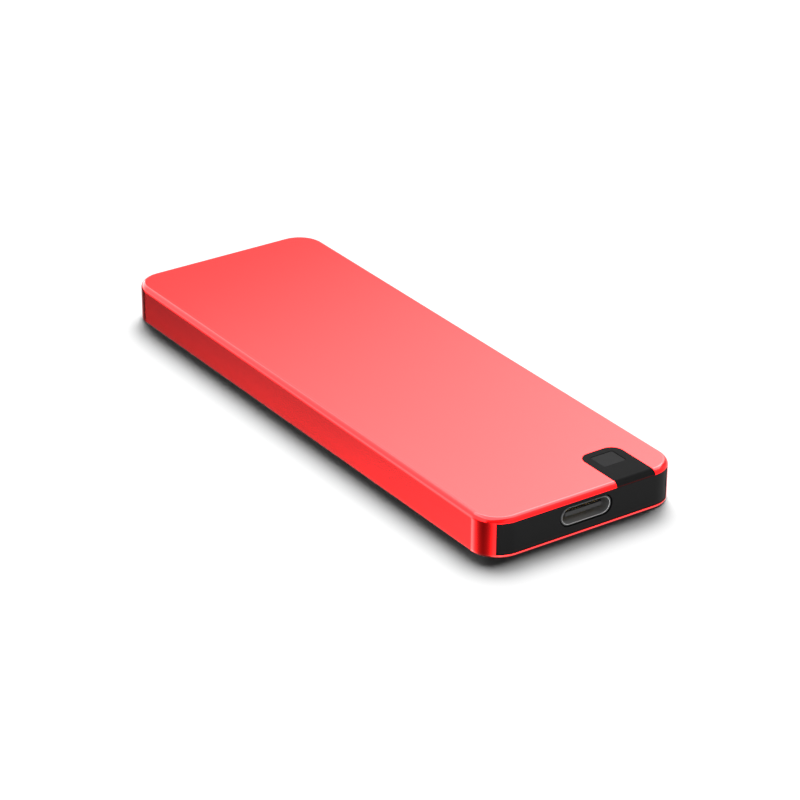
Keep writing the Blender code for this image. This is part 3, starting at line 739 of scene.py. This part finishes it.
def smallParts(name, places, size, look, slot):
    # rows of tiny two-ended parts: a body and a plated cap at each end; size is x, y, z and the long way is y
    x, y, z = np.array(size) * mm
    body = slab(*about(0, 0, x / 2, 0.4 * y, 0.0, z), 0.03, 0.02, 2, 1)
    corePiece(name, stamp(body, places), look, slot)
    over = 0.01 * mm
    ends = joined([slab(*about(0, side * y / 2, x / 2 + over, 0.14 * y, -0.002 * mm, z + over), 0.03,
                        0.02, 2, 1) for side in sides])
    soldered(name + "Ends", stamp(ends, places))


def chip(name, node, legs=0):
    # a moulded package with a pin-one dimple, and plated legs or balls just showing under its edge
    low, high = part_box(node)
    width, depth = high.x - low.x, high.y - low.y
    x, y = middle(low, high)
    radius = min(width, depth) * 0.045
    dimple = turned([(radius * 0.8, high.z - 0.05 * mm), (radius, high.z + 0.02 * mm)],
                    (low.x + 3.2 * radius, high.y - 3.2 * radius, 0), 20)
    package = slab((low.x, low.y, low.z + 0.10 * mm), high, 0.12, 0.06, 4, 2)
    corePiece(name, package, "chipResin", "chip", node, steps=cuts(dimple), angle=35)
    if legs:
        half = 0.11 * mm
        along = np.linspace(-0.4, 0.4, legs)
        pads = [(x + side * width / 2, y + t * depth, low.z) for side in sides for t in along]
        pads += [(x + t * width, y + side * depth / 2, low.z) for side in sides for t in along]
        pad = slab(*about(0, 0, half, half, 0.0, 0.16 * mm), 0.03, 0.02, 2, 1)
        soldered(name + "Legs", stamp(pad, pads))
        return
    # a grid of balls at one pitch, of which only the outermost can be seen
    pitch, margin = 0.8 * mm, 0.3 * mm
    counts = [int(size / pitch / 2) for size in (width, depth)]
    columns, rows = [np.arange(-count, count + 1) * pitch for count in counts]
    columns, rows = columns[np.abs(columns) < width / 2 - margin], rows[np.abs(rows) < depth / 2 - margin]
    pads = [(x + across, y + along, low.z) for across in columns for along in rows
            if abs(across) == abs(columns).max() or abs(along) == abs(rows).max()]
    ball = turned([(0.10 * mm, 0), (0.17 * mm, 0.05 * mm), (0.10 * mm, 0.10 * mm)], (0, 0, 0), 8)
    soldered(name + "Balls", stamp(ball, pads))


def inductor(name, node):
    # a moulded power inductor: a block with two plated ends
    low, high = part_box(node)
    y, depth = middle(low, high)[1], (high.y - low.y) * 0.36
    inset, wide = 0.06 * mm, 0.28 * mm
    block = slab((low.x + inset, low.y, low.z), (high.x - inset, high.y, high.z), 0.25, 0.1, 5)
    corePiece(name, block, "ferriteBlock", "ferrite", node)
    ends = [slab(*about(x, y, wide, depth, low.z - 0.005 * mm, low.z + 0.3 * mm), 0.06, 0.04, 3, 2)
            for x in (low.x + wide, high.x - wide)]
    soldered(name + "Ends", joined(ends))


def capacitor(name, node):
    low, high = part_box(node)
    cap, over, deep = 0.3 * mm, 0.02 * mm, 0.25 * mm
    body = slab((low.x, low.y + cap, low.z + over), (high.x, high.y - cap, high.z), 0.1, 0.08, 4)
    corePiece(name, body, "ceramicTan", "ceramic", node)
    ends = [slab((low.x - over, y - deep, low.z), (high.x + over, y + deep, high.z + over), 0.12,
                 0.09, 4) for y in (low.y + deep, high.y - deep)]
    soldered(name + "Ends", joined(ends))


def spots(xs, ys, z):
    # a grid of places on a board; x and y are in millimetres
    return [(x * mm, y * mm, z) for x in xs for y in ys]


def buildBridgeBoard():
    keep("bridge_board", "solderMask")
    chip("bridgeChip", "bridge_chip", legs=10)
    chip("regulatorChip", "regulator_chip", legs=4)
    inductor("powerInductor", "power_inductor")
    capacitor("bulkCapacitorLeft", "bulk_capacitor_1")
    capacitor("bulkCapacitorRight", "bulk_capacitor_2")
    low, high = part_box("crystal")
    brim = 0.22 * mm
    crown = slab((low.x + brim, low.y + brim, high.z - 0.2 * mm), (high.x - brim, high.y - brim, high.z),
                 0.25, 0.06, 5)
    can = slab(low, (high.x, high.y, high.z - 0.12 * mm), 0.3, 0.05, 5, 2)
    corePiece("crystalCan", can, "nickelPlate", "port_metal", "crystal", steps=[('UNION', crown)])
    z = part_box("bridge_board")[1].z + 0.004 * mm
    left = spots((-10.2, -9.4), (-41.2, -40.0, -38.8), z) + spots([-5.4], (-41.4, -40.2, -39.0), z)
    right = spots((9.2, 9.9), (-39.9, -38.7), z) + spots((5.5, 6.3, 7.1), [-41.2], z)
    behind = spots((-4.6, -3.9, 3.9, 4.6), [-38.2], z)
    smallParts("bridgeCapacitors", left + behind, (0.5, 1.0, 0.45), "ceramicTan", "ceramic")
    smallParts("bridgeResistors", right, (0.5, 1.0, 0.32), "resistorBlack", "chip")


boardSizes = inMm(fingerPitch=0.5, fingerWidth=0.35, fingerLength=2.4, fingerSetback=0.15, keyX=6.125,
                  keyHalf=0.95, seatHole=1.25, seatRim=2.6)
contactsAcross = (np.arange(37) - 18) * boardSizes["fingerPitch"]


def buildModuleBoard():
    b = boardSizes
    keep("m2_board", "solderMask")
    low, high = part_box("m2_board")
    start = low.y + b["fingerSetback"]
    finger = slab((-b["fingerWidth"] / 2, start, -0.018 * mm),
                  (b["fingerWidth"] / 2, start + b["fingerLength"], 0.018 * mm), 0.04, 0.012, 2, 1)
    across = contactsAcross[np.abs(contactsAcross - b["keyX"]) > b["keyHalf"]]
    places = [(x, 0, z) for z in (low.z, high.z) for x in across]
    corePiece("edgeContacts", stamp(finger, places), "goldContact", "port_metal")
    # the screw's plated seat: half a disc at the board's end, less the hole
    seat = turned([(b["seatRim"], 0), (b["seatRim"], 0.02 * mm)], (0, high.y, high.z), 40)
    half = boxShape((-4 * mm, high.y - 4 * mm, 0), (4 * mm, high.y - 0.02 * mm, caseHeight))
    hole = turned([(b["seatHole"], 0), (b["seatHole"], caseHeight)], (0, high.y, 0), 40)
    corePiece("screwSeatPlating", seat, "goldContact", "port_metal", steps=[('INTERSECT', half), *cuts(hole)])
    chip("controllerChip", "controller_chip")
    chip("dramChip", "dram_chip")
    chip("nandChipFront", "nand_chip_1")
    chip("nandChipRear", "nand_chip_2")
    chip("powerChip", "power_chip", legs=6)
    inductor("moduleInductor", "module_inductor")
    z = high.z + 0.004 * mm
    rows = spots((-9.6, 9.6), np.arange(-20.5, 40.0, 2.4), z)
    nearPower = spots((-9.8, -3.6, 3.6, 9.8), (-27.4, -25.2), z)
    smallParts("moduleCapacitors", rows + nearPower, (0.5, 1.0, 0.45), "ceramicTan", "ceramic")
    between = spots(np.arange(-5.6, 6.0, 1.4), [-9.2], z)
    smallParts("moduleResistors", between, (0.5, 0.9, 0.32), "resistorBlack", "chip")
    corePiece("moduleLabel", slab(*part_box("module_label"), 0.6, 0.015, 5), "paperLabel", "label_film",
              "module_label")


def buildSocket():
    low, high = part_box("m2_socket")
    boardLow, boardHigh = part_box("m2_board")
    gap = 0.03 * mm
    slotHalf = 9.925 * mm + 2 * gap
    slot = boxShape((-slotHalf, boardLow.y - 2 * gap, boardLow.z - gap),
                    (slotHalf, high.y + 5 * mm, boardHigh.z + gap))
    mouth = boxShape((-slotHalf, boardLow.y + 1.6 * mm, boardHigh.z),
                     (slotHalf, high.y + 5 * mm, boardHigh.z + 0.5 * mm))
    # a row of shallow windows along the roof, one over each contact
    window = boxShape((-0.13 * mm, low.y + 0.5 * mm, high.z - 0.12 * mm),
                      (0.13 * mm, low.y + 2.2 * mm, high.z + beyond))
    windows = stamp(window, [(x, 0, 0) for x in contactsAcross])
    corePiece("moduleSocket", boxShape(low, high), "connectorBlack", "port_insulator", "m2_socket",
              steps=cuts(slot, mouth, windows))
    leg = slab((-0.1 * mm, -0.35 * mm, 0), (0.1 * mm, 0.1 * mm, 0.14 * mm), 0.03, 0.02, 2, 1)
    legs = [(x, low.y + 0.02 * mm, low.z) for x in contactsAcross if abs(x) > 2.7 * mm]
    soldered("socketLegs", stamp(leg, legs))


def crossScrew(name, node):
    # a pan head with a domed top and a cross recess, on a grooved shank
    low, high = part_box(node)
    x, y = middle(low, high)
    head = (high.x - low.x) / 2
    shank, headHeight = (0.95 * mm, 0.65 * mm) if head > 1.5 * mm else (0.75 * mm, 0.45 * mm)
    seat = high.z - headHeight
    profile = [(head * 0.02, low.z), (shank * 0.7, low.z), (shank * 0.98, low.z + 0.15 * mm)]
    for z in np.arange(low.z + 0.2 * mm, seat - 0.12 * mm, 0.2 * mm):
        profile += [(shank, z), (shank * 0.86, z + 0.1 * mm)]
    profile += [(shank * 0.9, seat - 0.02 * mm), (shank * 0.9, seat), (head * 0.97, seat),
                (head, seat + 0.04 * mm)]
    # the dome is part of an ellipse: the radius follows the cosine and the height the sine, up to one angle
    last = 1.2
    profile += [(head * math.cos(t), seat + headHeight * (0.35 + 0.65 * math.sin(t) / math.sin(last)))
                for t in np.linspace(0, last, 6)]
    profile += [(head * 0.05, high.z)]
    arm, wide = head * 0.55, head * 0.12
    floor = high.z - headHeight * 0.62
    cross = [boxShape(*about(x, y, *halves, floor, high.z + beyond)) for halves in ((arm, wide), (wide, arm))]
    head = turned(profile, (x, y, 0))
    corePiece(name, head, "screwSteel", "screw_steel", node, steps=cuts(*cross), angle=35)


def buildFasteners():
    for name, node in (("capScrewLeft", "cap_screw_left"), ("capScrewRight", "cap_screw_right"),
                       ("bridgeScrewLeft", "bridge_screw_left"), ("bridgeScrewRight", "bridge_screw_right"),
                       ("moduleScrew", "m2_screw")):
        crossScrew(name, node)
    keep("m2_standoff", "turnedBrass")


foilSizes = inMm(thick=0.09, under=0.06, ribHeight=0.05, ribPitch=7.0, margin=1.6, fade=1.0)
foilGrid = (60, 220)


def buildHeatPath():
    corePiece("thermalPad", slab(*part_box("thermal_pad"), 0.5, 0.1, 5), "thermalPad", "thermal_gel",
              "thermal_pad")
    # the foil: a thin plate with shallow cross ribs that fade out near its edge, as a height over a grid
    s = foilSizes
    low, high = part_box("heat_spreader")
    rows, columns = foilGrid
    x, y = np.meshgrid(np.linspace(low.x, high.x, rows), np.linspace(low.y, high.y, columns), indexing='ij')
    edge = np.minimum(np.minimum(x - low.x, high.x - x), np.minimum(y - low.y, high.y - y))
    rib = np.cos((y - low.y) / s["ribPitch"] * 2 * math.pi) ** 12
    rib *= np.clip((edge - s["margin"]) / s["fade"], 0, 1)
    top = high.z - s["under"] + s["ribHeight"] * rib
    upper, lower = [np.stack([x, y, z], 2).reshape(-1, 3) for z in (top, top - s["thick"])]
    faces = gridFaces(rows, columns, closeColumns=False)
    count = rows * columns
    index = np.arange(count).reshape(rows, columns)
    rim = np.concatenate([index[0, :], index[1:, -1], index[-1, -2::-1], index[-2:0:-1, 0]])
    follow = np.roll(rim, -1)
    walls = np.stack([rim, follow, follow + count, rim + count], 1)
    foil = np.concatenate([upper, lower]), [*faces, *(faces + count), *walls]
    corePiece("heatSpreader", foil, "copperFoil", "copper_foil", "heat_spreader", angle=60)


cameraSizes = dict(place=(-244.06 * mm, -356.63 * mm, 218.51 * mm), elevation=26.80, azimuth=-34.59,
                   roll=0.355, focal=3152.3, frameSize=800.0, sensor=36.0)


def buildCamera():
    c = cameraSizes
    data = bpy.data.cameras.new("camera")
    data.sensor_width = c["sensor"]
    data.lens = c["focal"] * c["sensor"] / c["frameSize"]
    data.clip_start = 0.01
    data.clip_end = 20.0
    camera = link("camera", data)
    a, e = math.radians(c["azimuth"]), math.radians(c["elevation"])
    look = Vector((-math.sin(a) * math.cos(e), math.cos(a) * math.cos(e), -math.sin(e)))
    turn = look.to_track_quat('-Z', 'Y').to_matrix() @ Matrix.Rotation(math.radians(c["roll"]), 3, 'Z')
    camera.matrix_world = Matrix.Translation(c["place"]) @ turn.to_4x4()
    scene.camera = camera


studio = dict(fill=0.018, floorTone=(0.90, 0.90, 0.90), gain=8.0)
sunCard = dict(towards=[(0.635, 0.5, 1.0), (0.635, 1.12, 1.0)], spread=41.0, strength=2.9)
topCard = dict(distance=200 * mm, across=23 * mm, height=162 * mm, size=300 * mm, tilt=67.0, glow=15.3,
               dark=0.17, brightest=0.45)
softPanels = dict(leftPanel=dict(place=(-0.33, 0.386, 0.54), facing=(-0.75, 0.66, 0.0), upright=(0, 0, 1),
                                 size=(1.1, 1.85), glow=5.2),
                  overheadPanel=dict(place=(0.15, 0.15, 0.60), facing=(0.0, 0.0, 1.0), upright=(1, 0, 0),
                                     size=(1.2, 0.78), glow=13.0))


def buildStage():
    bpy.ops.mesh.primitive_plane_add(size=8.0, location=(0, 0, -0.02 * mm))
    floor = bpy.context.object
    floor.name = "floor"
    made = grained("paleFloor", studio["floorTone"], 0.75, grain=400.0, patch=6.0, tone=0.01, gloss=0.03,
                   bump=(0.02, 0.05), Specular_IOR_Level=0.0)
    # seen from below, the floor is clear
    tree = made.tree
    below = addNode(tree, 'NewGeometry').outputs['Backfacing']
    choose = addNode(tree, 'MixShader', {0: below, 1: made.main.outputs[0],
                                         2: addNode(tree, 'BsdfTransparent').outputs[0]})
    tree.links.new(choose.outputs[0], tree.nodes["Material Output"].inputs['Surface'])
    floor.data.materials.append(made.material)
    floor.visible_glossy = False
    floor.visible_shadow = False


# brightness of the studio low round the object, for gloss only, against the bearing from -X towards -Y
bearingStops = [(-180, 1.2), (-120, 1.0), (-80, 0.1), (-70, 0.03), (-63, 0.06), (-59, 0.34), (-56, 0.62),
                (-53, 0.9), (-50, 3.0), (-47.5, 8.0), (-42, 8.0), (-36, 5.6), (-30, 2.4), (-24, 1.35),
                (-16, 0.7), (-6, 0.35), (5, 0.24), (18, 0.36), (28, 0.7), (36, 1.4), (42, 3.2), (48, 4.2),
                (53, 2.9), (60, 5.0), (68, 6.6), (80, 5.4), (100, 4.0), (126, 3.4), (150, 2.0), (180, 1.2)]


def glossSurround(tree):
    # what polished parts mirror, from the direction x, y, z that a ray leaves in
    x, y, z = split(tree, addNode(tree, 'TexCoord').outputs['Generated'])
    bearing = mathNode(tree, 'ARCTAN2', times(tree, y, -1.0), times(tree, x, -1.0))
    share = plus(tree, mathNode(tree, 'DIVIDE', bearing, 2 * math.pi), 0.5)
    stops = [((degrees + 180) / 360, value / studio["gain"]) for degrees, value in bearingStops]
    low = ramp(tree, share, stops)
    # straight down it is darker, so the underside's rounds fall away
    deep = ramp(tree, times(tree, z, -1.0), [(0.0, 1.0), (0.5, 1.0), (0.68, 0.3), (1.0, 0.12)], 'EASE')
    # above the horizon at the front right it brightens with height
    towards = plus(tree, times(tree, x, 0.58), times(tree, y, -0.81))
    strip = times(tree, ramp(tree, towards, [(0.0, 0.0), (0.45, 0.0), (0.62, 1.0), (1.0, 1.0)], 'EASE'),
                  ramp(tree, z, [(0.0, 0.16), (0.3, 0.26), (0.68, 0.46), (1.0, 0.46)], 'EASE'))
    upper = ramp(tree, z, [(0.0, 0.10), (0.4, 0.11), (0.6, 0.16), (1.0, 0.12)], 'EASE')
    level = addNode(tree, 'MapRange', {'Value': z, 'From Min': -0.05, 'From Max': 0.2},
                    interpolation_type='SMOOTHSTEP')
    mix = addNode(tree, 'Mix', dict(Factor=level.outputs['Result'], A=times(tree, low, deep), B=upper))
    return mathNode(tree, 'MAXIMUM', mix.outputs['Result'], strip)


def buildWorld():
    world = bpy.data.worlds.new("studio")
    scene.world = world
    world.use_nodes = True
    tree = world.node_tree
    tree.nodes.clear()
    gloss = addNode(tree, 'Background', dict(Color=glossSurround(tree), Strength=studio["gain"]))
    # white to the camera, and only a faint fill on matt surfaces
    rays = addNode(tree, 'LightPath').outputs
    strength = mathNode(tree, 'MAXIMUM', rays['Is Camera Ray'], studio["fill"])
    plain = addNode(tree, 'Background', dict(Color=(1.0, 1.0, 1.0, 1.0), Strength=strength))
    choose = addNode(tree, 'MixShader', {0: rays['Is Glossy Ray'], 1: plain.outputs[0], 2: gloss.outputs[0]})
    addNode(tree, 'OutputWorld', dict(Surface=choose.outputs[0]))


def mirroredCard(name, receivers, place, along, away, size, glow):
    # a flat rectangular light turned towards the object; power is glow times pi times area
    data = bpy.data.lights.new(name, 'AREA')
    data.shape = 'RECTANGLE'
    data.size, data.size_y = size
    data.energy = glow * math.pi * size[0] * size[1]
    card = link(name, data)
    turn = Matrix((along, away.cross(along), away)).transposed()
    card.matrix_world = Matrix.Translation(place) @ turn.to_4x4()
    card.visible_diffuse = False
    card.visible_camera = False
    card.light_linking.receiver_collection = receivers
    return data


def buildLights():
    # an even soft light for floor and plastics, from two neighbouring directions
    data = bpy.data.lights.new("softKey", 'SUN')
    data.angle = math.radians(sunCard["spread"])
    data.energy = sunCard["strength"]
    for towards in sunCard["towards"]:
        key = link("softKey", data)
        key.rotation_euler = Vector(towards).to_track_quat('Z', 'Y').to_euler()
        key.visible_glossy = False
    # cards that only the red metal mirrors: a graded one behind the case, and two even ones
    mirrored = bpy.data.collections.new("mirrorsCards")
    mirrored.objects.link(bpy.data.objects["sleeveShell"])
    c = topCard
    a = math.radians(-cameraSizes["azimuth"])
    away = Vector((math.sin(a), math.cos(a), 0))
    right = Vector((math.cos(a), -math.sin(a), 0))
    slope = math.radians(c["tilt"])
    along = right * math.cos(slope) + Vector((0, 0, 1)) * math.sin(slope)
    spot = away * c["distance"] + right * c["across"] + Vector((0, 0, c["height"]))
    card = mirroredCard("gradedCard", mirrored, spot, along, away, (c["size"], c["size"]), c["glow"])
    # its strength is its share across, less the dark part, up to the brightest
    card.use_nodes = True
    tree = card.node_tree
    across = split(tree, addNode(tree, 'NewGeometry').outputs['Parametric'])[0]
    graded = mathNode(tree, 'MAXIMUM', mathNode(tree, 'SUBTRACT', across, c["dark"]), 0.0)
    graded = mathNode(tree, 'MINIMUM', graded, c["brightest"])
    tree.links.new(graded, tree.nodes["Emission"].inputs['Strength'])
    for name, panel in softPanels.items():
        mirroredCard(name, mirrored, Vector(panel["place"]), Vector(panel["upright"]),
                     Vector(panel["facing"]).normalized(), panel["size"], panel["glow"])


buildCamera()
buildStage()
buildWorld()
print("stage, world and camera set")
buildSleeve()
buildLights()
buildCaseTrim()
buildEndCap()
buildWindow()
buildReceptacle()
buildTongue()
print("case and port built")
buildBridgeBoard()
buildModuleBoard()
buildSocket()
buildFasteners()
buildHeatPath()
keep("carrier_tray", "trayPlastic")
print("core built")
scene.view_settings.view_transform = 'Standard'
scene.view_settings.look = 'None'
